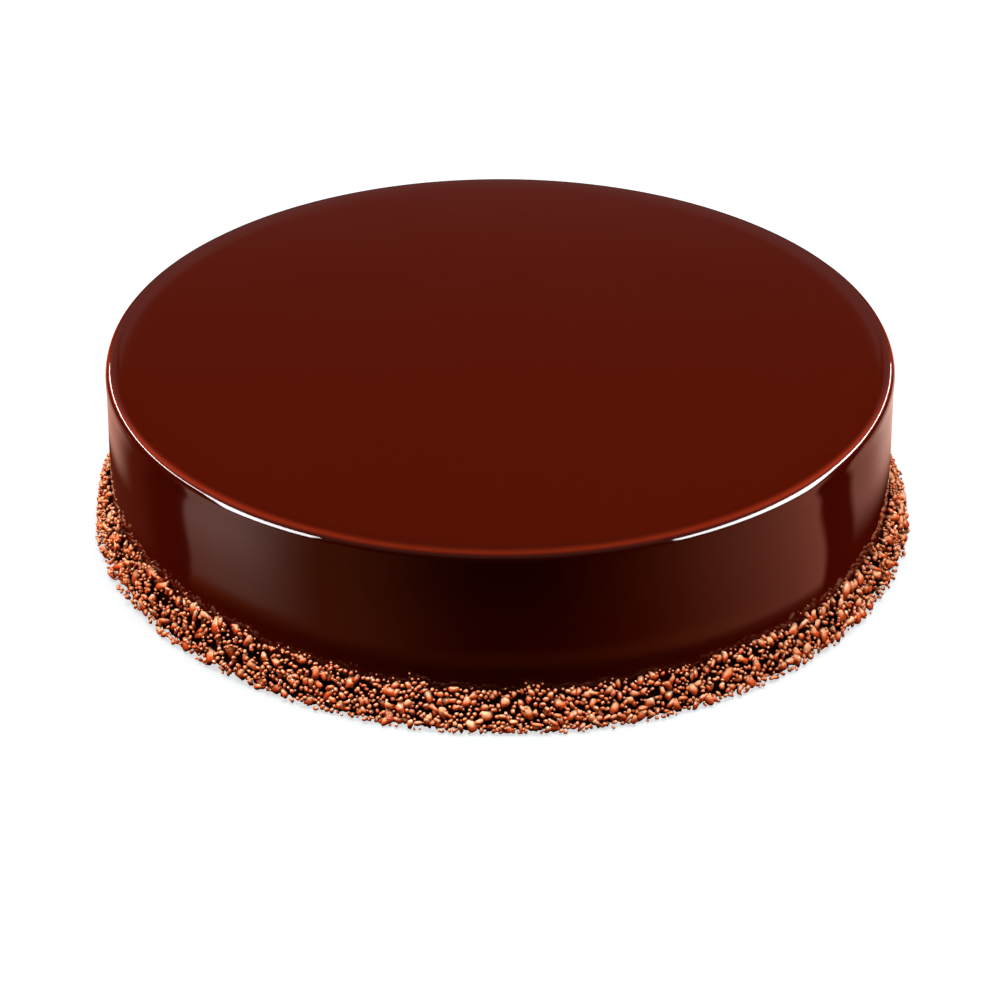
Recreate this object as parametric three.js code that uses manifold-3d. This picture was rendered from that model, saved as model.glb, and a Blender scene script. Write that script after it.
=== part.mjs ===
// Chocolate caramel cake: a low round cake under a poured mirror glaze, with a band of
// chocolate crunch pressed round its foot. Uncut, so it is one solid from glaze to base.
// Millimetres, +Z up. The origin is the centre of the flat base, and the front is at -Y.

import * as THREE from 'three';
import { mergeVertices } from 'three/addons/utils/BufferGeometryUtils.js';
import Module from 'manifold-3d';

const wasm = await Module();
wasm.setup();

// Glazed body
const cakeRadius = 100;
const cakeHeight = 48;
const bodyFacets = 96; // facets round the cake
const shoulderWidth = 9; // width of the soft fall of the glaze before the edge
const shoulderDrop = 0.35;
const edgeRadius = 3.6; // rounding of the glaze over the edge
const edgeSteps = 4;
const sideSeam = 16; // height of the facets' seam above the band

// Crunch band: its outline, from the foot on the ground to the ragged top on the glaze.
// Each wave is [count round the cake, height of the wave, where it peaks in degrees].
const bandFoot = 105.4; // mean outer radius at the ground
const bandFootWaves = [[1, 0.6, 80], [2, 0.8, 14], [3, 0.8, 3]];
const bandRise = 10.2; // mean height up the side
const bandRiseWaves = [[1, 1.5, -100], [2, 1.2, -75], [3, 0.6, 50]];
const bandLip = 1.3; // how far the top of the band stands out of the glaze
const bandBulge = 1.6; // power of the band's outward curve, 1 is a straight bank

// Core of the band, under the pieces that show
const coreFacets = 132;
const coreRows = 3;
const coreDepth = 1.5; // how far the core lies under the outline
const coreInset = 4; // how far the core reaches into the body
const coreBump = 0.75; // height of its bumps, which are the size of small crumbs

// Crunch nibs: one in every second cell of a grid round the band
const nibColumns = 128;
const nibRows = 3;
const nibLength = [2.8, 4.6];
const nibWidth = [1.9, 2.8];
const nibThickness = [1.7, 2.4];
const nibSides = 5;
const nibRings = 3;
const nibSpread = 0.3; // wander from the middle of its cell, as a share of the cell
const nibLean = 0.5; // greatest tilt out of the surface, in radians
const nibTurn = 1.25; // greatest turn from upright, in radians
const nibGrip = [0.5, 0.9]; // how deep it is sunk into the core
const nibRoughness = 0.16; // unevenness of its surface, as a share of its size
const groundGap = 0.15; // clear height under the lowest nib

const weld = 1e-4; // distance under which corners are one

// Seeds of the draws, one for each thing drawn
const seeds = {
  around: 1,
  up: 2,
  length: 3,
  width: 4,
  thickness: 5,
  turn: 6,
  lean: 7,
  grip: 8,
  surface: 9,
  core: 10,
};
const drawStride = 12.9898;
const seedStride = 78.233;
const drawScale = 43758.5453;

// A scattered number from 0 to 1, the same every time for a count and a seed: the
// fractional part of a large multiple of a sine
function draw(count, seed) {
  const value = Math.sin(count * drawStride + seed * seedStride) * drawScale;
  return value - Math.floor(value);
}

// The same from -1 to 1
function drawAround(count, seed) {
  return 2 * draw(count, seed) - 1;
}

// The same between the two ends of a range
function drawBetween(range, count, seed) {
  return THREE.MathUtils.lerp(range[0], range[1], draw(count, seed));
}

// The sum of waves at an angle measured from the front, positive to the right
function sumOfWaves(waves, angle) {
  let total = 0;
  for (const [count, height, peak] of waves) {
    total += height * Math.cos(count * (angle - THREE.MathUtils.degToRad(peak)));
  }
  return total;
}

// A point of the band's outline: share is 0 at the ground and 1 at the top of the band
function bandPoint(angle, share, depth) {
  const foot = bandFoot + sumOfWaves(bandFootWaves, angle);
  const rise = bandRise + sumOfWaves(bandRiseWaves, angle);
  const lip = cakeRadius + bandLip;
  const radius = lip + (foot - lip) * (1 - share ** bandBulge);
  return { radius: radius - depth, height: rise * share };
}

// Turns a closed three.js geometry into a solid
function toSolid(geometry) {
  const bare = geometry.clone();
  bare.deleteAttribute('normal');
  bare.deleteAttribute('uv');
  const merged = mergeVertices(bare, weld);
  const vertProperties = new Float32Array(merged.attributes.position.array);
  const triVerts = new Uint32Array(merged.index.array);
  return new wasm.Manifold(new wasm.Mesh({ numProp: 3, vertProperties, triVerts }));
}

// Turns a solid back into a three.js geometry
function toGeometry(solid) {
  const mesh = solid.getMesh();
  const geometry = new THREE.BufferGeometry();
  geometry.setAttribute('position', new THREE.BufferAttribute(mesh.vertProperties, 3));
  geometry.setIndex(new THREE.BufferAttribute(mesh.triVerts, 1));
  geometry.computeVertexNormals();
  return geometry;
}

// The glazed body: a profile from the middle of the base, up the side, over the rounded
// edge and the soft shoulder, to the middle of the top
function makeBody() {
  const profile = [
    new THREE.Vector2(0, 0),
    new THREE.Vector2(cakeRadius, 0),
    new THREE.Vector2(cakeRadius, sideSeam),
  ];
  const edgeTop = cakeHeight - shoulderDrop;
  for (let step = 0; step <= edgeSteps; step += 1) {
    const angle = (Math.PI / 2) * (step / edgeSteps);
    profile.push(new THREE.Vector2(
      cakeRadius - edgeRadius + edgeRadius * Math.cos(angle),
      edgeTop - edgeRadius + edgeRadius * Math.sin(angle),
    ));
  }
  profile.push(new THREE.Vector2(cakeRadius - shoulderWidth, cakeHeight));
  profile.push(new THREE.Vector2(0, cakeHeight));
  const geometry = new THREE.LatheGeometry(profile, bodyFacets);
  geometry.rotateX(Math.PI / 2);
  return toSolid(geometry);
}

// The core of the band: a ring whose outer face follows the band's outline, with bumps.
// The profile's height is the share up the band, which the loop turns into a place.
function makeCore() {
  const inner = cakeRadius - coreInset;
  const profile = [new THREE.Vector2(inner, 0)];
  for (let row = 0; row <= coreRows; row += 1) {
    profile.push(new THREE.Vector2(cakeRadius, row / coreRows));
  }
  profile.push(new THREE.Vector2(inner, 1));
  profile.push(profile[0].clone());
  const geometry = new THREE.LatheGeometry(profile, coreFacets);
  geometry.rotateX(Math.PI / 2);
  const place = geometry.attributes.position;
  const rings = profile.length;
  for (let index = 0; index < place.count; index += 1) {
    const column = Math.floor(index / rings) % coreFacets;
    const row = index % rings;
    const angle = Math.atan2(place.getX(index), -place.getY(index));
    const outline = bandPoint(angle, profile[row].y, coreDepth);
    const bump = coreBump * drawAround(column * rings + row, seeds.core);
    const outside = row > 0 && row <= coreRows + 1;
    const radius = outside ? outline.radius + bump : inner;
    place.setX(index, radius * Math.sin(angle));
    place.setY(index, -radius * Math.cos(angle));
    place.setZ(index, outline.height);
  }
  return toSolid(geometry);
}

// A closed ball of few sides
function makeBall() {
  const sphere = new THREE.SphereGeometry(1, nibSides, nibRings);
  sphere.deleteAttribute('normal');
  sphere.deleteAttribute('uv');
  return mergeVertices(sphere, weld);
}

// One nib about its own middle: long in y, with an uneven rounded surface
function nibShape(nib) {
  const size = new THREE.Vector3(
    drawBetween(nibWidth, nib, seeds.width) / 2,
    drawBetween(nibLength, nib, seeds.length) / 2,
    drawBetween(nibThickness, nib, seeds.thickness) / 2,
  );
  const shape = makeBall();
  const place = shape.attributes.position;
  for (let index = 0; index < place.count; index += 1) {
    const unevenness = drawAround(nib * place.count + index, seeds.surface);
    const swell = 1 + nibRoughness * unevenness;
    place.setXYZ(
      index,
      place.getX(index) * size.x * swell,
      place.getY(index) * size.y * swell,
      place.getZ(index) * size.z * swell,
    );
  }
  return shape;
}

// Puts a nib in its cell of the band, turned, tilted and partly sunk
function makeNib(column, row) {
  const nib = row * nibColumns + column;
  const aside = nibSpread * drawAround(nib, seeds.around);
  const above = nibSpread * drawAround(nib, seeds.up);
  const angle = (2 * Math.PI * (column + 0.5 + aside)) / nibColumns;
  const share = (row + 0.5 + above) / nibRows;
  const halfThickness = drawBetween(nibThickness, nib, seeds.thickness) / 2;
  const depth = coreDepth - halfThickness + drawBetween(nibGrip, nib, seeds.grip);
  const middle = bandPoint(angle, share, depth);
  const below = bandPoint(angle, Math.max(share - 0.1, 0), depth);
  const tangent = new THREE.Vector3(Math.cos(angle), Math.sin(angle), 0);
  const outward = new THREE.Vector3(Math.sin(angle), -Math.cos(angle), 0);
  const upward = outward.clone().multiplyScalar(middle.radius - below.radius);
  upward.z = middle.height - below.height;
  upward.normalize();
  const normal = new THREE.Vector3().crossVectors(tangent, upward);
  const shape = nibShape(nib);
  shape.rotateX(nibLean * drawAround(nib, seeds.lean));
  shape.rotateZ(nibTurn * drawAround(nib, seeds.turn));
  shape.applyMatrix4(new THREE.Matrix4().makeBasis(tangent, upward, normal));
  shape.translate(
    outward.x * middle.radius,
    outward.y * middle.radius,
    middle.height,
  );
  shape.computeBoundingBox();
  shape.translate(0, 0, Math.max(groundGap - shape.boundingBox.min.z, 0));
  return toSolid(shape);
}

// Joins the body, the core and the nibs, and keeps the outer skin alone, without any
// pocket shut in between nibs
function makeCake() {
  let cake = makeBody().add(makeCore());
  for (let row = 0; row < nibRows; row += 1) {
    for (let column = row % 2; column < nibColumns; column += 2) {
      cake = cake.add(makeNib(column, row));
    }
  }
  const skins = cake.decompose();
  skins.sort((one, other) => other.volume() - one.volume());
  return toGeometry(skins[0]);
}

const darkGlaze = new THREE.MeshStandardMaterial({
  color: new THREE.Color().setRGB(0.34, 0.085, 0.035, THREE.SRGBColorSpace),
  roughness: 0.08,
  metalness: 0,
});

const cake = new THREE.Mesh(makeCake(), darkGlaze);
cake.name = 'cake';

const group = new THREE.Group();
group.add(cake);

export default group;
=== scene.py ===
import math

import bpy
import numpy as np
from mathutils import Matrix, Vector


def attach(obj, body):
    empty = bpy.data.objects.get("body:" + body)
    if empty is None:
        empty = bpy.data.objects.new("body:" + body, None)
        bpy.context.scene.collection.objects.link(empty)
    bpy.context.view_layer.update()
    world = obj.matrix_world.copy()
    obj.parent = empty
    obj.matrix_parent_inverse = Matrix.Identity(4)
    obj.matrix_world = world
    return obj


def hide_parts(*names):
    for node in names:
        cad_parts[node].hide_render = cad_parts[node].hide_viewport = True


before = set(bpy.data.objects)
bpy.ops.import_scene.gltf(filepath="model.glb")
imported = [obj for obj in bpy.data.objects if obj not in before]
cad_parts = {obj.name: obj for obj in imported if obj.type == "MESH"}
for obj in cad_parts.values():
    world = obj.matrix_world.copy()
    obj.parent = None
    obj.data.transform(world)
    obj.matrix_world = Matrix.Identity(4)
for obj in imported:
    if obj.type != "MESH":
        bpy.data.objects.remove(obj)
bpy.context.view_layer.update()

millimetre = 0.001
goldenShare = (math.sqrt(5) - 1) / 2


def between(ends, share):                       # the first end at a share of 0, the second at 1
    return ends[0] + (ends[1] - ends[0]) * share


def smoothStep(value, start, end):              # 0 up to the start, 1 from the end
    share = np.clip((value - start) / (end - start), 0, 1)
    return share * share * (3 - 2 * share)


def wrapped(angle):                             # the same angle within half a turn of the front
    return np.mod(angle + np.pi, 2 * np.pi) - np.pi


def nodePoints(name):                           # corners of a CAD node, in millimetres
    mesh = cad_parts[name].data
    flat = np.empty(len(mesh.vertices) * 3, np.float32)
    mesh.vertices.foreach_get("co", flat)
    return flat.reshape(-1, 3).astype(float) / millimetre


solid = nodePoints("cake")
boxLow, boxHigh = solid.min(0), solid.max(0)
cakeHeight = boxHigh[2]
upperPoints = solid[solid[:, 2] > cakeHeight / 2]
cakeRadius = np.hypot(upperPoints[:, 0], upperPoints[:, 1]).max()
print("frame: cake radius %.2f mm, height %.2f mm" % (cakeRadius, cakeHeight))


def gridFaces(rows, columns, closedRound=True, closedUp=False):     # quads between the rows of a grid
    row, column = np.meshgrid(np.arange(rows - (not closedUp)), np.arange(columns - (not closedRound)),
                              indexing="ij")
    after, above = (column + 1) % columns, (row + 1) % rows
    return np.stack([row * columns + column, row * columns + after,
                     above * columns + after, above * columns + column], -1).reshape(-1, 4)


def closedFaces(rings, columns):                # quads between rings of corners, and a fan at each pole
    column = np.arange(columns)
    after = (column + 1) % columns
    lastRing = (rings - 1) * columns
    lowPole = np.full(columns, rings * columns)
    highPole = lowPole + 1
    fans = np.concatenate([np.stack([lowPole, after, column], -1),
                           np.stack([lastRing + column, lastRing + after, highPole], -1)])
    return gridFaces(rings, columns), fans


def makeObject(name, points, quads, fans):      # one smooth mesh at the origin, its place in its corners
    mesh = bpy.data.meshes.new(name)
    mesh.from_pydata((points * millimetre).tolist(), [], quads.tolist() + fans.tolist())
    mesh.polygons.foreach_set("use_smooth", np.ones(len(mesh.polygons), bool))
    piece = bpy.data.objects.new(name, mesh)
    bpy.context.scene.collection.objects.link(piece)
    return piece


def addAttribute(piece, name, values):
    layer = piece.data.attributes.new(name, "FLOAT", "POINT")
    layer.data.foreach_set("value", np.asarray(values, np.float32).ravel())


def addColours(piece, name, colours):
    layer = piece.data.attributes.new(name, "FLOAT_COLOR", "POINT")
    opaque = np.ones((len(colours), 1))
    layer.data.foreach_set("color", np.concatenate([colours, opaque], 1).astype(np.float32).ravel())


def dress(piece, material):
    piece.data.materials.append(material)
    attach(piece, "root")
    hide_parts("cake")


class Wire:                                     # a socket whose sums and products add Math nodes
    def __init__(self, finish, socket):
        self.finish, self.socket = finish, socket

    def maths(self, operation, first, second):
        return self.finish.node("ShaderNodeMath", {"operation": operation}, {0: first, 1: second})

    def __add__(self, other):
        return self.maths("ADD", self, other)

    def __radd__(self, other):
        return self.maths("ADD", other, self)

    def __sub__(self, other):
        return self.maths("SUBTRACT", self, other)

    def __rsub__(self, other):
        return self.maths("SUBTRACT", other, self)

    def __mul__(self, other):
        return self.maths("MULTIPLY", self, other)

    def __rmul__(self, other):
        return self.maths("MULTIPLY", other, self)


class Finish:                                   # a material and the nodes that make it
    def __init__(self, name):
        self.material = bpy.data.materials.new(name)
        self.material.use_nodes = True
        self.tree = self.material.node_tree
        self.tree.nodes.clear()

    def node(self, kind, settings=None, inputs=None, output=0):
        made = self.tree.nodes.new(kind)
        for name, value in (settings or {}).items():
            if name == "stops":                 # of a colour ramp: place and colour
                self.setStops(made.color_ramp, value)
            else:
                setattr(made, name, value)
        for name, value in (inputs or {}).items():
            if isinstance(value, Wire):
                self.tree.links.new(value.socket, made.inputs[name])
            else:
                made.inputs[name].default_value = value
        return Wire(self, made.outputs[output]) if made.outputs else made

    def setStops(self, ramp, stops):
        while len(ramp.elements) < len(stops):
            ramp.elements.new(0.5)
        for element, (place, colour) in zip(ramp.elements, stops):
            element.position = place
            element.color = (*colour, 1)

    def objectPlace(self):
        return self.node("ShaderNodeTexCoord", output="Object")

    def noise(self, scale, detail=2.0, roughness=0.5, distortion=0.0):
        return self.node("ShaderNodeTexNoise", {"noise_dimensions": "3D"},
                         {"Vector": self.objectPlace(), "Scale": scale, "Detail": detail,
                          "Roughness": roughness, "Distortion": distortion}, "Fac")

    def mix(self, share, first, second):        # two colours, by the colour sockets of the node
        return self.node("ShaderNodeMix", {"data_type": "RGBA"}, {0: share, 6: first, 7: second}, 2)

    def ramp(self, value, stops):
        return self.node("ShaderNodeValToRGB", {"stops": stops}, {"Fac": value})

    def attribute(self, name, output="Fac"):
        return self.node("ShaderNodeAttribute", {"attribute_name": name}, output=output)

    def bump(self, height, distance, strength=1.0):
        return self.node("ShaderNodeBump", {},
                         {"Height": height, "Distance": distance, "Strength": strength})

    def surface(self, kind, inputs):
        shader = self.node(kind, {}, inputs)
        self.node("ShaderNodeOutputMaterial", {}, {"Surface": shader})
        return self.material


glazeSettings = {
    "columns": 384,                             # faces round the drum
    "sideRings": 40, "sidePacking": 0.7,        # rings, and the power that spaces them
    "edgeRings": 24,
    "topRings": 30, "topPacking": 1.5,
    "shoulderWidth": 9.0,                       # soft fall of the glaze before the edge
    "shoulderDrop": 0.35,
    "edgeRadius": 3.6,
    "lipDepth": 0.16,                           # how far the side lies behind the lip of the edge
    "lipReach": 2.2,                            # height over which the lip swells out
    "footRounding": 0.6,
    "flowWaves": [(5, 0.05, 0.4), (9, 0.03, 2.1), (17, 0.02, 1.2)],   # count round, depth, phase
    "flowDepth": 0.1, "flowTwist": 0.05,        # mean depth, and turn of the waves with the height
    "colour": (0.0790, 0.0074, 0.0020),
    "rimHighlightColour": (0.3700, 0.0430, 0.0145),      # painted highlight, a lighter band along the edge
    "rimTilt": 38, "rimAbove": 13, "rimBelow": 7.5,                   # place and spread of the painted highlight, in degrees
    "rimHighlightShare": 0.9,
    "cloudNoise": (9, 3), "cloudSwing": 0.05,   # scale and detail, and how far the colour swings
    "roughness": 0.045, "filmNoise": (60, 2), "filmRoughness": 0.02,
    "rippleNoise": (22, 1), "rippleBump": (0.0002, 0.35),             # height in metres, strength
}


def glazeProfile(settings):
    # From the base to the middle of the top: an upright side that swells into a lip by a bell curve,
    # a quarter circle for the edge, then a shoulder whose height falls with the fourth power of
    # the distance from its inner end.
    edge, drop, width = settings["edgeRadius"], settings["shoulderDrop"], settings["shoulderWidth"]
    edgeTop = cakeHeight - drop
    edgeFoot = edgeTop - edge
    foot = settings["footRounding"]
    upward = np.linspace(0, 1, settings["sideRings"]) ** settings["sidePacking"]
    sideHeight = between((foot, edgeFoot), upward)
    below = (edgeFoot - sideHeight) / settings["lipReach"]
    sideRadius = cakeRadius - settings["lipDepth"] * (1 - np.exp(-below ** 2))
    turn = np.linspace(0, np.pi / 2, settings["edgeRings"] + 1)[1:]
    inward = np.linspace(0, 1, settings["topRings"] + 1)[1:] ** settings["topPacking"]
    topRadius = (cakeRadius - edge) * (1 - inward)
    fall = np.clip((topRadius - (cakeRadius - width)) / (width - edge), 0, 1)
    radius = np.concatenate([[cakeRadius - foot], sideRadius,
                             cakeRadius - edge + edge * np.cos(turn), topRadius])
    height = np.concatenate([[0.0], sideHeight, edgeFoot + edge * np.sin(turn),
                             cakeHeight - drop * fall ** 4])
    tilt = np.concatenate([[0.0], 0 * sideHeight, turn, np.full(len(topRadius), np.pi / 2)])
    return radius[:-1], height[:-1], tilt[:-1]


def makeGlaze(settings):
    # Radius and height of the profile, carried round the axis; the side sinks in by a sum of sines of
    # the angle, which fades over the edge, as poured glaze flows unevenly down a side.
    radius, height, tilt = glazeProfile(settings)
    angle = 2 * np.pi * np.arange(settings["columns"]) / settings["columns"]
    around, up = np.meshgrid(angle, np.arange(len(radius)))
    wave = sum(depth * np.sin(count * around + phase + settings["flowTwist"] * height[up])
               for count, depth, phase in settings["flowWaves"])
    reach = radius[up] - np.cos(tilt[up]) * np.maximum(wave + settings["flowDepth"], 0)
    rings = np.stack([reach * np.sin(around), -reach * np.cos(around), height[up]], -1)
    poles = np.array([[0, 0, 0], [0, 0, cakeHeight]], float)
    points = np.concatenate([rings.reshape(-1, 3), poles])
    piece = makeObject("glaze", points, *closedFaces(len(radius), settings["columns"]))
    # The painted highlight along the edge: a bell curve of the tilt, kept as an attribute.
    past = np.degrees(tilt) - settings["rimTilt"]
    spread = np.where(past > 0, settings["rimAbove"], settings["rimBelow"])
    rim = np.exp(-(past / spread) ** 2)
    addAttribute(piece, "rim", np.concatenate([np.repeat(rim, settings["columns"]), [0, 0]]))
    return piece


def glazeMaterial(settings):
    finish = Finish("mirrorGlaze")
    deep, light = (tuple((1 + swing) * part for part in settings["colour"]) + (1,)
                   for swing in (-settings["cloudSwing"], settings["cloudSwing"]))
    body = finish.mix(finish.noise(*settings["cloudNoise"]), deep, light)
    # The painted highlight lightens the glaze's colour along the edge.
    rim = finish.attribute("rim") * settings["rimHighlightShare"]
    film = finish.noise(*settings["filmNoise"])
    return finish.surface("ShaderNodeBsdfPrincipled", {
        "Base Color": finish.mix(rim, body, settings["rimHighlightColour"] + (1,)),
        "Roughness": settings["roughness"] + film * settings["filmRoughness"],
        "IOR": 1.5,
        "Normal": finish.bump(finish.noise(*settings["rippleNoise"]), *settings["rippleBump"]),
    })


glaze = makeGlaze(glazeSettings)
dress(glaze, glazeMaterial(glazeSettings))
print("glaze: %d faces" % len(glaze.data.polygons))


bandSettings = {                                # the outline of the crunch band
    "foot": 105.4,                              # mean outer radius at the ground
    "footWaves": [(1, 0.6, 80), (2, 0.8, 14), (3, 0.8, 3)],             # count, height, peak in degrees
    "rise": 10.2,                               # mean height up the side
    "riseWaves": [(1, 1.5, -100), (2, 1.2, -75), (3, 0.6, 50)],
    "raggedWaves": [(23, 0.45, 5), (41, 0.45, 40), (67, 0.4, 10)],      # of the top edge alone
    "lip": 1.3,                                 # how far its top stands out of the glaze
    "bulge": 1.6,                               # power of its outward curve
}


def sumOfWaves(waves, angle):
    return sum(height * np.cos(count * (angle - math.radians(peak))) for count, height, peak in waves)


def bandRise(angle):
    return bandSettings["rise"] + sumOfWaves(bandSettings["riseWaves"], angle)


def bandPlace(angle, share, depth):
    # Radius and height on the band: from the foot's radius at the ground to the lip's at the top,
    # falling with a power of the share of the height, less the depth under the outline.
    band = bandSettings
    foot = band["foot"] + sumOfWaves(band["footWaves"], angle)
    rise = bandRise(angle) + sumOfWaves(band["raggedWaves"], angle)
    lip = cakeRadius + band["lip"]
    fall = 1 - np.clip(share, 0, 1) ** band["bulge"]
    return lip + (foot - lip) * fall - depth, rise * share


coreSettings = {                                # the crunch under the pieces that shows between them; its near-black colour is painted shade
    "columns": 1080,
    "rows": 18,
    "inset": 3.0,                               # how far it reaches under the glaze
    "depth": 2.6,                               # how far it lies under the outline
    "bump": 0.45,                               # height of its bumps
    "roundWave": (190, 3, 9), "upWave": (14, 2, 71),    # count, sway, and count of the sway
    "slantWave": (333, 23, 0.6),                # count round, count up, share
    "leastWidth": 0.5,
    # near-black: painted shade for the deep gaps between the pieces
    "colour": (0.006, 0.0014, 0.0007),
    "mottleNoise": (700, 3), "mottleShare": 0.5,
    "grainNoise": (1500, 3), "grainBump": (0.0004, 0.8),
}


def makeCore(settings):
    # The band's outline set back by a depth, with bumps from the product of two swaying sines, one of
    # the angle and one of the share, plus a slanting sine; closed behind by a ring inside the glaze.
    columns, rows = settings["columns"], settings["rows"]
    angle = 2 * np.pi * np.arange(columns) / columns
    share = np.linspace(0, 1, rows)
    around, up = np.meshgrid(angle, share)
    roundCount, roundSway, roundSwayCount = settings["roundWave"]
    upCount, upSway, upSwayCount = settings["upWave"]
    slantCount, slantUpCount, slantShare = settings["slantWave"]
    bumps = (np.sin(around * roundCount + roundSway * np.sin(up * roundSwayCount))
             * np.sin(up * upCount + upSway * np.sin(around * upSwayCount))
             + slantShare * np.sin(around * slantCount + up * slantUpCount))
    depth = settings["depth"] + settings["bump"] * bumps
    radius, height = bandPlace(around, up, depth)
    inner = np.full(columns, cakeRadius - settings["inset"])
    radius = np.concatenate([[inner], np.maximum(radius, inner + settings["leastWidth"]), [inner]])
    height = np.concatenate([[np.zeros(columns)], height, [height[-1]]])
    around = np.broadcast_to(angle, radius.shape)
    points = np.stack([radius * np.sin(around), -radius * np.cos(around), height], -1)
    quads = gridFaces(len(radius), columns, closedUp=True)
    return makeObject("crunchCore", points.reshape(-1, 3), quads, np.empty((0, 3), int))


def coreMaterial(settings):
    finish = Finish("crunchShade")
    mottle = finish.noise(*settings["mottleNoise"])
    dark = tuple(settings["mottleShare"] * part for part in settings["colour"]) + (1,)
    return finish.surface("ShaderNodeBsdfPrincipled", {
        "Base Color": finish.mix(mottle, dark, settings["colour"] + (1,)),
        "Roughness": 1.0,
        "Specular IOR Level": 0.0,
        "Normal": finish.bump(finish.noise(*settings["grainNoise"]), *settings["grainBump"]),
    })


core = makeCore(coreSettings)
dress(core, coreMaterial(coreSettings))
print("core: %d faces" % len(core.data.polygons))


bluntness = 0.75                                # power of the sine of a ball's rings: 1 is a true ball
waistWidth = 0.4                                # half width of a pinch, as a share of the half length
slopeStep = 0.1                                 # share of the band over which its slope is taken
boxMargin = 0.05                                # clear width between the pieces and the CAD box


def unitBall(rings, columns):
    # A blunt ball whose poles lie along y, ring by ring: the rings' radius is a power of a sine.
    polar = np.pi * (np.arange(rings) + 1) / (rings + 1)
    turn = 2 * np.pi * np.arange(columns) / columns
    turn, polar = np.meshgrid(turn, polar)
    reach = np.sin(polar) ** bluntness
    ring = np.stack([reach * np.cos(turn), -np.cos(polar), -reach * np.sin(turn)], -1)
    return np.concatenate([ring.reshape(-1, 3), [[0, -1, 0], [0, 1, 0]]])


def roundedShapes(count, settings, random):
    # Each piece is a ball whose radius swells by sines across random directions, then pinched at
    # its waist, tapered along its length and bent by the square of its length.
    ball = unitBall(settings["rings"], settings["columns"])
    swell = np.ones((count, len(ball)))
    for frequency, amount in settings["swell"]:
        across = random.normal(size=(count, 3))
        across /= np.linalg.norm(across, axis=1, keepdims=True)
        phase = random.uniform(0, 2 * np.pi, (count, 1))
        swell += amount * np.sin(frequency * across @ ball.T + phase)
    shapes = ball[None] * swell[..., None]
    pinch = random.uniform(0, settings["pinch"], (count, 1))
    waist = 1 - pinch * np.exp(-(shapes[..., 1] / waistWidth) ** 2)
    taper = 1 + random.uniform(-1, 1, (count, 1)) * settings["taper"] * shapes[..., 1]
    shapes[..., 0] *= waist * taper
    shapes[..., 2] *= waist * taper
    shapes[..., 0] += random.uniform(-1, 1, (count, 1)) * settings["bend"] * shapes[..., 1] ** 2
    return shapes


def turned(shapes, lean, turn):                 # tilted out of the surface, then turned in it
    x, y, z = shapes[..., 0], shapes[..., 1], shapes[..., 2]
    cosine, sine = np.cos(lean)[:, None], np.sin(lean)[:, None]
    y, z = y * cosine - z * sine, y * sine + z * cosine
    cosine, sine = np.cos(turn)[:, None], np.sin(turn)[:, None]
    return np.stack([x * cosine - y * sine, x * sine + y * cosine, z], -1)


def placed(shapes, angle, share, depth):
    # Local x runs round the cake, y up the band's slope and z out of it.
    radius, height = bandPlace(angle, share, depth)
    lowRadius, lowHeight = bandPlace(angle, share - slopeStep, depth)
    slope = np.stack([radius - lowRadius, height - lowHeight], -1)
    slope /= np.linalg.norm(slope, axis=1, keepdims=True)
    outward = np.stack([np.sin(angle), -np.cos(angle), 0 * angle], -1)
    tangent = np.stack([np.cos(angle), np.sin(angle), 0 * angle], -1)
    upright = np.array([0.0, 0.0, 1.0])
    upward = outward * slope[:, :1] + upright * slope[:, 1:]
    normal = np.cross(tangent, upward)
    middle = outward * radius[:, None] + upright * height[:, None]
    axes = np.stack([tangent, upward, normal], 1)
    points = np.einsum("nvk,nkc->nvc", shapes, axes) + middle[:, None]
    return keptInBox(points)


def keptInBox(points):                          # each piece moved back inside the CAD box, off the ground
    low, high = points.min(1), points.max(1)
    points = points + np.maximum(boxLow + boxMargin - low, 0)[:, None]
    return points - np.maximum(high - (boxHigh - boxMargin), 0)[:, None]


shadeSettings = {
    "sunkFrom": 0.3, "sunkTo": 2.1,             # depths under the outline over which a corner darkens
    "underFrom": -0.9, "underTo": 0.1, "underLeast": 0.3,
    "besideFrom": -0.4, "besideTo": 0.6, "besideLeast": 0.35, "besideRise": 0.4,
    "tipHighlightFrom": -0.3, "tipHighlightTo": 0.9, "tipHighlightShare": 0.72,      # painted highlight on the upper sides, and the share of the tone that it makes
}


def joinShapes(name, points, settings, tone):
    # A corner's shade falls with its depth under the band's outline, towards the side of its piece that
    # faces the core and on the underside. Its tone is drawn at random for the piece, and a painted
    # highlight raises it towards the piece's upper side.
    count, corners = points.shape[:2]
    quads, fans = closedFaces(settings["rings"], settings["columns"])
    shift = (np.arange(count) * corners)[:, None, None]
    piece = makeObject(name, points.reshape(-1, 3), (quads[None] + shift).reshape(-1, 4),
                       (fans[None] + shift).reshape(-1, 3))
    shades = shadeSettings
    x, y, height = points[..., 0], points[..., 1], points[..., 2]
    angle = np.arctan2(x, -y)
    rise = bandRise(angle)
    sunk = np.where(height > rise, 0, bandPlace(angle, height / rise, 0)[0] - np.hypot(x, y))
    about = points - points.mean(1, keepdims=True)
    about /= np.linalg.norm(about, axis=-1, keepdims=True)
    upward = about[..., 2]
    outward = about[..., 0] * np.sin(angle) - about[..., 1] * np.cos(angle)
    under = smoothStep(upward, shades["underFrom"], shades["underTo"])
    beside = smoothStep(outward + shades["besideRise"] * upward, shades["besideFrom"], shades["besideTo"])
    shade = between((shades["underLeast"], 1), under) * between((shades["besideLeast"], 1), beside)
    addAttribute(piece, "shade", shade * (1 - smoothStep(sunk, shades["sunkFrom"], shades["sunkTo"])))
    # painted highlight: the tone rises on the upper side of each piece
    tip = smoothStep(upward, shades["tipHighlightFrom"], shades["tipHighlightTo"])
    addAttribute(piece, "tone", tone[:, None] * (1 - shades["tipHighlightShare"]) + tip * shades["tipHighlightShare"])
    return piece


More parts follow.
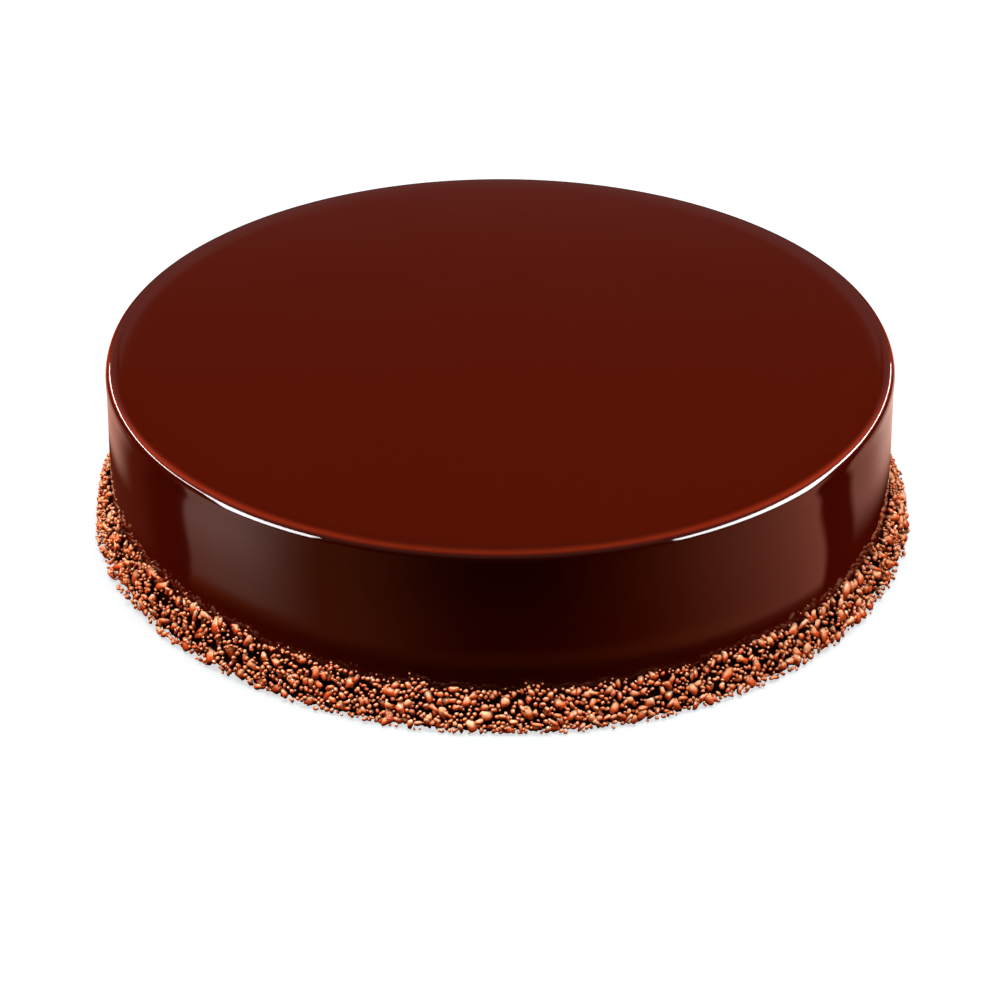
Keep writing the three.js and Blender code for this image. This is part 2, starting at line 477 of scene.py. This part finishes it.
spreadWander = 2.0                              # how far a place strays from its step, in steps
ownCloseness = 0.8                              # how near pieces of one kind may be, by their reach


def evenSpread(count, random):
    # The angle goes round once by equal steps, each with some wander, and the share by golden steps.
    index = np.arange(count)
    angle = 2 * np.pi * (index + 0.5 + spreadWander * random.uniform(-1, 1, count)) / count
    share = (index * goldenShare) % 1
    return angle, share


drawStride, seedStride, drawScale = 12.9898, 78.233, 43758.5453
seeds = {"around": 1, "up": 2, "length": 3, "width": 4, "thickness": 5, "turn": 6, "lean": 7, "grip": 8}


def scatterDraw(count, use):                    # the fractional part of a large multiple of a sine
    value = np.sin(count * drawStride + seeds[use] * seedStride) * drawScale
    return value - np.floor(value)


def scatterAround(count, use):                  # the same from -1 to 1
    return 2 * scatterDraw(count, use) - 1


frontWidth = math.radians(40)                   # how far round the mix of sizes of the front reaches


def frontness(angle):                           # a bell curve of the angle, 1 at the front
    return np.exp(-(wrapped(angle) / frontWidth) ** 2)


def mixOfShapes(settings, angle):               # how much wider and longer the pieces are at an angle
    side, front = np.array(settings["sideShape"]), np.array(settings["frontShape"])
    return between((side, front), frontness(angle)[:, None])


groundBlock = 400                               # places compared at a time, to spare memory


class Ground:                                   # where the pieces lie, as ellipses on the flattened band
    def __init__(self):
        self.rows = np.empty((0, 5))            # angle, share, half length, half width, turn

    def add(self, angle, share, size, turn):
        self.rows = np.concatenate([self.rows, np.stack([angle, share, size[:, 1], size[:, 0], turn], -1)])

    def clear(self, angle, share, reach, closeness):
        # True where a round piece of this reach stays out of every ellipse, grown by the reach and
        # shrunk by the closeness.
        free = np.ones(len(angle), bool)
        for start in range(0, len(angle), groundBlock):
            part = slice(start, start + groundBlock)
            apart = wrapped(angle[part, None] - self.rows[None, :, 0]) * cakeRadius
            above = (share[part, None] - self.rows[None, :, 1]) * bandRise(angle[part, None])
            sine, cosine = np.sin(self.rows[:, 4]), np.cos(self.rows[:, 4])
            along = (above * cosine - apart * sine) / (self.rows[:, 2] + reach[part, None])
            across = (apart * cosine + above * sine) / (self.rows[:, 3] + reach[part, None])
            free[part] = (along ** 2 + across ** 2 > closeness ** 2).all(1)
        return free


ground = Ground()

nibSettings = {
    "gridColumns": 128, "gridRows": 3,          # cells round and up the band, one nib in each
    "rings": 8, "columns": 12,
    "length": (2.8, 4.6), "width": (1.9, 2.8), "thickness": (1.7, 2.4),
    "secondSize": 0.7,                          # size of the nibs between the largest
    "secondReach": 0.7, "closeness": 0.95,      # share of their half length kept clear, and how near
    "frontShape": (1.04, 0.78), "sideShape": (0.98, 1.0),     # growth of the width and the length
    "spread": 0.3, "lean": 0.5, "turn": 1.25, "grip": (0.5, 0.9), "coreDepth": 1.5,
    "swell": [(1.9, 0.15), (3.3, 0.14), (5.9, 0.10), (8.3, 0.08)],
    "pinch": 0.3, "taper": 0.3, "bend": 0.3,
    "seed": 11,
}


def makeNibs(settings):
    # The largest nibs lie in every second cell of a grid round the band, as the solid has them,
    # and smaller ones in the cells between, where there is room.
    random = np.random.default_rng(settings["seed"])
    columns, rows = settings["gridColumns"], settings["gridRows"]
    nib = np.arange(columns * rows)
    column, row = nib % columns, nib // columns
    large = (column + row) % 2 == 0
    aside = settings["spread"] * scatterAround(nib, "around")
    above = settings["spread"] * scatterAround(nib, "up")
    size = np.stack([between(settings[part], scatterDraw(nib, part))
                     for part in ("width", "length", "thickness")], -1) / 2
    size *= np.where(large, 1.0, settings["secondSize"])[:, None]
    angle = 2 * np.pi * (column + 0.5 + aside) / columns
    size[:, :2] *= mixOfShapes(settings, angle)
    share = (row + 0.5 + above) / rows
    turn = settings["turn"] * scatterAround(nib, "turn")
    depth = settings["coreDepth"] - size[:, 2] + between(settings["grip"], scatterDraw(nib, "grip"))
    shapes = roundedShapes(len(nib), settings, random) * size[:, None]
    shapes = turned(shapes, settings["lean"] * scatterAround(nib, "lean"), turn)
    points = placed(shapes, angle, share, depth)
    ground.add(angle[large], share[large], size[large], turn[large])
    reach = size[:, 1] * settings["secondReach"]
    kept = large | ground.clear(angle, share, reach, settings["closeness"])
    second = kept & ~large
    ground.add(angle[second], share[second], size[second], turn[second])
    return joinShapes("crunchNibs", points[kept], settings, random.uniform(0, 1, len(nib))[kept])


chipSettings = {
    "count": 4400, "closeness": 0.60,           # places tried, and how near another piece may be
    "frontShare": 0.5, "sideShare": 1.0,        # shares kept in front and elsewhere
    "frontShape": (1.0, 0.9), "sideShape": (1.18, 1.35),
    "rings": 5, "columns": 9,
    "length": (1.6, 3.2), "width": (1.1, 1.7), "thickness": (1.0, 1.6),
    "lean": 0.6, "turn": 1.5, "depth": (0.1, 0.9),
    "swell": [(2.1, 0.16), (3.9, 0.15), (6.1, 0.12)],
    "pinch": 0.3, "taper": 0.3, "bend": 0.3,
    "reach": (0.03, 1.02),                      # shares of the band's height between which they lie
    "seed": 12,
}

bitSettings = {
    "count": 5200, "closeness": 0.74,
    "frontShare": 1.0, "sideShare": 0.6,
    "frontShape": (1.0, 1.0), "sideShape": (0.9, 1.3),
    "rings": 3, "columns": 7,
    "length": (1.0, 1.6), "width": (0.9, 1.3), "thickness": (0.9, 1.3),
    "lean": 1.0, "turn": 3.1, "depth": (-0.1, 1.2),
    "swell": [(2.1, 0.12), (4.3, 0.08)],
    "pinch": 0.2, "taper": 0.2, "bend": 0.2,
    "reach": (0.02, 1.06), "seed": 13,
}

beadSettings = {
    "count": 6000, "closeness": 0.7,
    "frontShare": 1.0, "sideShare": 0.5,
    "frontShape": (1.0, 1.0), "sideShape": (1.0, 1.0),
    "rings": 3, "columns": 6,
    "length": (0.6, 0.95), "width": (0.55, 0.85), "thickness": (0.55, 0.85),
    "lean": 1.5, "turn": 3.1, "depth": (-0.3, 1.2),
    "swell": [(2.3, 0.06)],
    "pinch": 0.0, "taper": 0.1, "bend": 0.0,
    "reach": (0.02, 1.08), "seed": 14,
}

straySettings = {                               # single beads stuck to the glaze above the band
    "count": 170, "closeness": 0.0,
    "frontShare": 1.0, "sideShare": 1.0,
    "frontShape": (1.0, 1.0), "sideShape": (1.0, 1.0),
    "rings": 3, "columns": 6,
    "length": (0.4, 0.75), "width": (0.4, 0.65), "thickness": (0.4, 0.65),
    "lean": 1.5, "turn": 3.1, "depth": (1.0, 1.2),
    "swell": [(2.3, 0.06)],
    "pinch": 0.0, "taper": 0.1, "bend": 0.0,
    "reach": (1.0, 1.2), "seed": 15,
}


def makeScatter(name, settings):
    # Places spread evenly over the band and thinned by the angle, of which those stay that are clear
    # of the pieces already there and of each other, by the distance between their middles.
    random = np.random.default_rng(settings["seed"])
    count = settings["count"]
    angle, share = evenSpread(count, random)
    share = between(settings["reach"], share)
    size = np.stack([random.uniform(*settings[part], count)
                     for part in ("width", "length", "thickness")], -1) / 2
    size[:, :2] *= mixOfShapes(settings, angle)
    turn = settings["turn"] * random.uniform(-1, 1, count)
    depth = random.uniform(*settings["depth"], count)
    wanted = between((settings["sideShare"], settings["frontShare"]), frontness(angle))
    free = random.uniform(0, 1, count) < wanted
    if settings["closeness"]:
        free &= ground.clear(angle, share, size[:, :2].mean(1), settings["closeness"])
        apart = wrapped(angle[free, None] - angle[None, free]) * cakeRadius
        above = (share[free, None] - share[None, free]) * bandSettings["rise"]
        reach = size[free, :2].mean(1)
        near = np.hypot(apart, above) < ownCloseness * (reach[:, None] + reach[None])
        keep = ~np.tril(near, -1).any(1)
        free[np.flatnonzero(free)[~keep]] = False
    ground.add(angle[free], share[free], size[free], turn[free])
    shapes = roundedShapes(count, settings, random) * size[:, None]
    shapes = turned(shapes, settings["lean"] * random.uniform(-1, 1, count), turn)
    points = placed(shapes, angle, share, depth)
    tone = random.uniform(0, 1, count)
    return joinShapes(name, points[free], settings, tone[free])


crunchLooks = {
    "shadow": (0.045, 0.0045, 0.0015),          # where the attribute "shade" is 0
    "dark": (0.200, 0.0110, 0.0020),
    "middle": (0.400, 0.064, 0.013),
    # the pale end, reached mostly through the painted highlight on the pieces' upper sides
    "light": (0.530, 0.335, 0.195),
    "toneShare": 0.85, "toneStart": -0.04,      # from the attribute "tone" to the place on the ramp
    "mottleNoise": (420, 3), "mottleShare": 0.25,
    "roughness": 0.10, "glintNoise": (900, 2), "glintRoughness": 0.2,
    "grainNoise": (760, 4, 0.6, 0.5), "grainBump": (0.0005, 0.8),
}


def crunchMaterial(settings):
    finish = Finish("crunch")
    mottle = finish.noise(*settings["mottleNoise"]) * settings["mottleShare"]
    glint = finish.noise(*settings["glintNoise"]) * settings["glintRoughness"]
    # the tone holds each piece's random tone and the painted highlight on its upper side
    tone = finish.attribute("tone") * settings["toneShare"] + mottle + settings["toneStart"]
    colour = finish.ramp(tone, [(0.0, settings["dark"]), (0.5, settings["middle"]),
                                (1.0, settings["light"])])
    return finish.surface("ShaderNodeBsdfPrincipled", {
        "Base Color": finish.mix(finish.attribute("shade"), settings["shadow"] + (1,), colour),
        "Roughness": settings["roughness"] + glint,
        "IOR": 1.55,
        "Normal": finish.bump(finish.noise(*settings["grainNoise"]), *settings["grainBump"]),
    })


crunchFinish = crunchMaterial(crunchLooks)
crunchPieces = [
    makeNibs(nibSettings),
    makeScatter("crunchChips", chipSettings),
    makeScatter("crunchBits", bitSettings),
    makeScatter("crunchBeads", beadSettings),
    makeScatter("crunchStrays", straySettings),
]
for piece in crunchPieces:
    dress(piece, crunchFinish)
    print("%s: %d faces" % (piece.name, len(piece.data.polygons)))
crunchPieces.append(core)


cameraSettings = {
    "distance": 1.3, "elevation": 30.11,        # from the middle of the base, in metres and degrees
    "pitch": 29.97,                             # how far it looks down
    "focalPixels": 5039, "framePixels": 1000, "sensor": 36.0,
    "nearest": 0.01, "farthest": 30,
}


def makeCamera(settings):
    data = bpy.data.cameras.new("camera")
    camera = bpy.data.objects.new("camera", data)
    bpy.context.scene.collection.objects.link(camera)
    data.sensor_width = settings["sensor"]
    data.lens = settings["focalPixels"] / settings["framePixels"] * settings["sensor"]
    data.clip_start, data.clip_end = settings["nearest"], settings["farthest"]
    elevation = math.radians(settings["elevation"])
    camera.location = (0, -settings["distance"] * math.cos(elevation),
                       settings["distance"] * math.sin(elevation))
    camera.rotation_euler = (math.radians(90 - settings["pitch"]), 0, 0)
    bpy.context.scene.camera = camera


makeCamera(cameraSettings)


def seenBy(thing, camera=False, glossy=False):  # by these rays alone
    thing.visible_camera, thing.visible_glossy = camera, glossy
    thing.visible_diffuse = thing.visible_shadow = False
    thing.visible_transmission = thing.visible_volume_scatter = False


def panel(name, corners, material):             # a flat card of the studio, in metres
    mesh = bpy.data.meshes.new(name)
    mesh.from_pydata(corners, [], [tuple(range(len(corners)))])
    mesh.materials.append(material)
    card = bpy.data.objects.new(name, mesh)
    bpy.context.scene.collection.objects.link(card)
    return card


lightAim = (0, 0, 0.03)                         # where every light points


def softLight(name, place, size, power, colour=(1, 1, 1)):
    data = bpy.data.lights.new(name, "AREA")
    data.shape, data.size, data.size_y = "RECTANGLE", size[0], size[1]
    data.energy, data.color = power, colour
    light = bpy.data.objects.new(name, data)
    bpy.context.scene.collection.objects.link(light)
    light.location = place
    light.rotation_euler = (Vector(lightAim) - Vector(place)).to_track_quat("-Z", "Y").to_euler()
    return light


def receivers(name, pieces):                    # the pieces that a light or a card shines on
    group = bpy.data.collections.new(name)
    for piece in pieces:
        group.objects.link(piece)
    return group


def shineOn(thing, group):
    thing.light_linking.receiver_collection = group


glazeGroup = receivers("glazeReceivers", [glaze])
crunchGroup = receivers("crunchReceivers", crunchPieces)

studioSettings = {
    "floorHalf": 6.0, "floorDrop": 0.0003,
    "floorColour": (0.9, 0.9, 0.9, 1), "floorRoughness": 0.9,
    "floorGlow": 0.70,                          # keeps the pale floor white away from the lights
    "topColour": (0.92, 1.08, 1.1),
    "topPower": 9.5, "topSize": (0.9, 0.9), "topPlace": (0, 0.05, 1.3),
    "sideColour": (1, 0.5, 0.35),
    "sidePower": 13.0, "sideSize": (1.1, 0.55), "sidePlace": (0.95, 0.12, 0.5),
    "crownPowers": (4.8, 5.8, 4.5, 5.5, 11.0, 5.2),       # from the right of the front, anticlockwise
    "crownSize": (0.10, 0.10), "crownReach": 0.45, "crownHeight": 0.9,
    "fillPowers": (3.8, 8.5, 6.0, 14.0),        # in front, right, behind and left
    "fillSize": (0.5, 0.3), "fillReach": 0.85, "fillHeight": 0.55,
    "fillColour": (1, 0.62, 0.38),
    "cardGlow": 22.0,
}


def floorMaterial(settings):
    finish = Finish("paleFloor")
    return finish.surface("ShaderNodeBsdfPrincipled", {
        "Base Color": settings["floorColour"], "Roughness": settings["floorRoughness"],
        "Emission Color": (1, 1, 1, 1), "Emission Strength": settings["floorGlow"],
    })


def cardMaterial(strength):
    finish = Finish("cardShine")
    return finish.surface("ShaderNodeEmission", {"Color": (1, 1, 1, 1), "Strength": strength})


def makeFloor(settings):
    half, drop = settings["floorHalf"], -settings["floorDrop"]
    corners = [(-half, -half, drop), (half, -half, drop), (half, half, drop), (-half, half, drop)]
    floor = panel("floor", corners, floorMaterial(settings))
    seenBy(floor, camera=True)


def makeWorld():                                # white behind everything, seen by the camera alone
    world = bpy.data.worlds.new("studio")
    bpy.context.scene.world = world
    world.use_nodes = True
    background = world.node_tree.nodes["Background"]
    background.inputs["Color"].default_value = (1, 1, 1, 1)
    background.inputs["Strength"].default_value = 1.0
    sight = world.cycles_visibility
    sight.diffuse = sight.glossy = sight.transmission = sight.scatter = False


def roundThePart(reach, angle, height):
    return (reach * math.sin(angle), -reach * math.cos(angle), height)


def makeLights(settings):
    top = softLight("topLight", settings["topPlace"], settings["topSize"], settings["topPower"],
                    settings["topColour"])
    top.visible_glossy = False
    aside, along, height = settings["sidePlace"]
    for name, sign in (("leftLight", -1), ("rightLight", 1)):
        side = softLight(name, (sign * aside, along, height), settings["sideSize"], settings["sidePower"],
                         settings["sideColour"])
        side.visible_glossy = False
        shineOn(side, glazeGroup)
    crownStep = 2 * math.pi / len(settings["crownPowers"])
    for index, power in enumerate(settings["crownPowers"]):
        place = roundThePart(settings["crownReach"], crownStep * (index + 0.5), settings["crownHeight"])
        crown = softLight("crownLight%d" % (index + 1), place, settings["crownSize"], power)
        shineOn(crown, crunchGroup)
    for index, power in enumerate(settings["fillPowers"]):
        place = roundThePart(settings["fillReach"], math.pi / 2 * index, settings["fillHeight"])
        fill = softLight("fillLight%d" % (index + 1), place, settings["fillSize"], power,
                         settings["fillColour"])
        fill.visible_glossy = False
        shineOn(fill, crunchGroup)


def glowSheet(name, points, glow, closed=False):          # a grid of the studio, its shine varying over it
    quads = gridFaces(*points.shape[:2], closedRound=closed)
    mesh = bpy.data.meshes.new(name)
    mesh.from_pydata(points.reshape(-1, 3).tolist(), [], quads.tolist())
    sheet = bpy.data.objects.new(name, mesh)
    bpy.context.scene.collection.objects.link(sheet)
    addColours(sheet, "glow", glow.reshape(-1, 3))
    finish = Finish(name + "Shine")
    mesh.materials.append(finish.surface("ShaderNodeEmission", {
        "Color": finish.attribute("glow", "Color"), "Strength": 1.0}))
    seenBy(sheet, glossy=True)
    shineOn(sheet, glazeGroup)


# Bright strips of the ground at both sides, and a low wall behind each, make the line of light along
# the edge. Past its end the wall goes on as a thin bar. They stay low, so that the top doesn't mirror them.
cardSettings = {
    "outer": 0.72, "low": 0.0006,               # distance of the wall from the middle, height of its foot
    "left": {"inner": 0.19, "innerEnds": (-0.205, -0.09), "outerEnds": (-0.68, -0.12),
             "tip": -0.09, "top": 0.10, "bar": (0.06, 0.10)},
    "right": {"inner": 0.20, "innerEnds": (-0.235, -0.05), "outerEnds": (-0.72, 0.13),
              "tip": 0.36, "top": 0.10, "bar": (0.06, 0.10)},
    "barEnd": 1.0,
    "stripColumns": 32, "stripRows": 40,
    "softInner": 0.08, "softEnd": 0.06,         # shares of the strip over which its shine rises
}


def makeStrip(name, sign, settings, side, glow):
    # A grid from the strip's inner side to the wall, whose columns stand by the square of their share,
    # and whose shine rises smoothly from the inner side and from both ends.
    across, along = np.meshgrid(np.linspace(0, 1, settings["stripColumns"]) ** 2,
                                np.linspace(0, 1, settings["stripRows"]))
    x = between((side["inner"], settings["outer"]), across)
    front, end = (between(ends, across) for ends in zip(side["innerEnds"], side["outerEnds"]))
    points = np.stack([sign * x, between((front, end), along), np.full(x.shape, settings["low"])], -1)
    shine = (glow * smoothStep(across, 0, settings["softInner"]) * smoothStep(along, 0, settings["softEnd"])
             * (1 - smoothStep(along, 1 - settings["softEnd"], 1)))
    glowSheet(name, points, np.repeat(shine[..., None], 3, -1))


def makeSideCards(settings, studio):
    shine = cardMaterial(studio["cardGlow"])
    outer, low, barEnd = settings["outer"], settings["low"], settings["barEnd"]
    for name, sign in (("left", -1), ("right", 1)):
        side = settings[name]
        (front, end), tip, top, bar = (side[part] for part in ("outerEnds", "tip", "top", "bar"))
        makeStrip(name + "Strip", sign, settings, side, studio["cardGlow"])
        wall = [(outer, front, low), (outer, end, low), (outer, tip, (low + top) / 2),
                (outer, end, top), (outer, front, top)]
        line = [(outer, end, bar[0]), (outer, barEnd, bar[0]), (outer, barEnd, bar[1]),
                (outer, end, bar[1])]
        for part, corners in (("Wall", wall), ("Bar", line)):
            card = panel(name + "Card" + part, [(sign * x, y, z) for x, y, z in corners], shine)
            seenBy(card, glossy=True)
            shineOn(card, glazeGroup)


# What the side mirrors of the ground. A place on the side, at an angle from the front and at a height,
# mirrors the ground at twice the angle, further out the higher it lies, so the sheet is laid out by
# those two numbers. Each glow has the degrees over which it rises and falls, the heights over which its
# foot rises and its head falls, how bright its foot is, and a tint.
groundGlows = [
    {"side": -1, "rise": (25, 41), "fall": (50.5, 52), "foot": (20.0, 23.5), "footShare": 0.44,
     "glow": 0.48, "tint": (1, 0.78, 0.75)},
    {"side": -1, "rise": (25, 39), "fall": (42, 54), "foot": (19.2, 22.6), "footShare": 0.44,
     "glow": 0.38, "tint": (1, 0.78, 0.75)},
    {"side": -1, "rise": (2, 24), "fall": (50.5, 52), "foot": (16.6, 19.8), "footShare": 1,
     "glow": 0.36, "tint": (1, 0.25, 0.07)},
    {"side": -1, "rise": (67, 76), "fall": (95, 99), "foot": (28, 36), "footShare": 1,
     "glow": 0.72, "tint": (1, 0.50, 0.38)},
    {"side": -1, "rise": (58, 66), "fall": (95, 99), "foot": (14, 20), "footShare": 1,
     "glow": 0.12, "tint": (1, 0.20, 0.10)},
    {"side": 1, "rise": (5, 35), "fall": (53, 55), "foot": (13, 16.4), "footShare": 0.9,
     "glow": 0.43, "tint": (1, 0.14, 0.0)},
    {"side": 1, "rise": (16, 60), "fall": (53, 55), "foot": (13, 16.4), "footShare": 0.85,
     "glow": 0.84, "tint": (1, 0.43, 0.34)},
    {"side": 1, "rise": (61.5, 64), "fall": (95, 99), "foot": (17, 32), "footShare": 1,
     "glow": 0.70, "tint": (1, 0.42, 0.31)},
    {"side": 1, "rise": (68, 78), "fall": (95, 99), "foot": (22, 40), "footShare": 0.8,
     "glow": 0.40, "tint": (1, 0.90, 0.80)},
    {"side": 1, "rise": (-30, 0), "fall": (30, 44), "foot": (15, 17), "head": (17.2, 19.4),
     "footShare": 1, "glow": 0.28, "tint": (1, 0.20, 0.03)},
    {"side": 1, "rise": (-40, -8), "fall": (14, 34), "foot": (15, 17), "head": (24, 44),
     "footShare": 1, "glow": 0.10, "tint": (1, 0.03, 0.0)},
]
groundSettings = {
    "reflectSlope": 1.62,                       # how far out a height is mirrored
    "waver": 0.8, "waverHeight": 5.0,           # how the glows' sides sway, in degrees, and how quickly
    "mostHeight": 70, "fullHeight": 44,         # top of the sheet, and where the glows are full
    "mostDegrees": 88, "columns": 353, "rows": 36,
    "frontLevel": -0.8, "backLevel": -1.0,      # heights of the two sheets under the floor
}


def glowOver(part, degrees, height):
    along = part["side"] * degrees
    sideways = smoothStep(along, *part["rise"]) * (1 - smoothStep(along, *part["fall"]))
    upward = smoothStep(height, *part["foot"])
    if "head" in part:
        upward = upward * (1 - smoothStep(height, *part["head"]))
    fade = between((part["footShare"], 1),
                   smoothStep(height, part["foot"][1], groundSettings["fullHeight"]))
    return (part["glow"] * sideways * upward * fade)[..., None] * np.array(part["tint"])


def makeGroundSheets(settings):
    # Place on the ground: the drum's foot at an angle, plus a run outwards at twice that angle whose
    # length is the height times the slope.
    degrees = np.linspace(-settings["mostDegrees"], settings["mostDegrees"], settings["columns"])
    around, up = np.meshgrid(np.radians(degrees), np.linspace(0, settings["mostHeight"], settings["rows"]))
    run = settings["reflectSlope"] * up
    x = cakeRadius * np.sin(around) + run * np.sin(2 * around)
    y = -cakeRadius * np.cos(around) - run * np.cos(2 * around)
    swayed = np.degrees(around) + settings["waver"] * np.sin(up / settings["waverHeight"])
    glow = sum(glowOver(part, swayed, up) for part in groundGlows)
    for name, sign, level in (("groundFront", 1, settings["frontLevel"]),
                              ("groundBack", -1, settings["backLevel"])):
        points = np.stack([sign * x, sign * y, np.full(x.shape, level)], -1) * millimetre
        glowSheet(name, points, glow)


ringSettings = {
    "radius": 3.0, "low": 0.2, "high": 2.1,
    "columns": 64, "rows": 60,
    "glow": 0.104,
    "from": 1.47, "lead": 0.01, "fade": 0.085,  # height past which it fades, how far before, how quickly
}


def makeGlowRing(settings):
    # A dim wall all round that greys the far edge of the top. Its glow falls off exponentially with
    # the height, past the height that the far edge mirrors.
    angle = 2 * np.pi * np.arange(settings["columns"]) / settings["columns"]
    around, up = np.meshgrid(angle, np.linspace(settings["low"], settings["high"], settings["rows"]))
    points = np.stack([settings["radius"] * np.sin(around), settings["radius"] * np.cos(around), up], -1)
    past = np.maximum(up - settings["from"], -settings["lead"])
    glow = settings["glow"] * np.exp(-past / settings["fade"])
    glowSheet("glowRing", points, np.repeat(glow[..., None], 3, -1), True)


makeFloor(studioSettings)
makeWorld()
makeLights(studioSettings)
makeSideCards(cardSettings, studioSettings)
makeGroundSheets(groundSettings)
makeGlowRing(ringSettings)
bpy.context.scene.view_settings.view_transform = "Standard"
print("studio made")
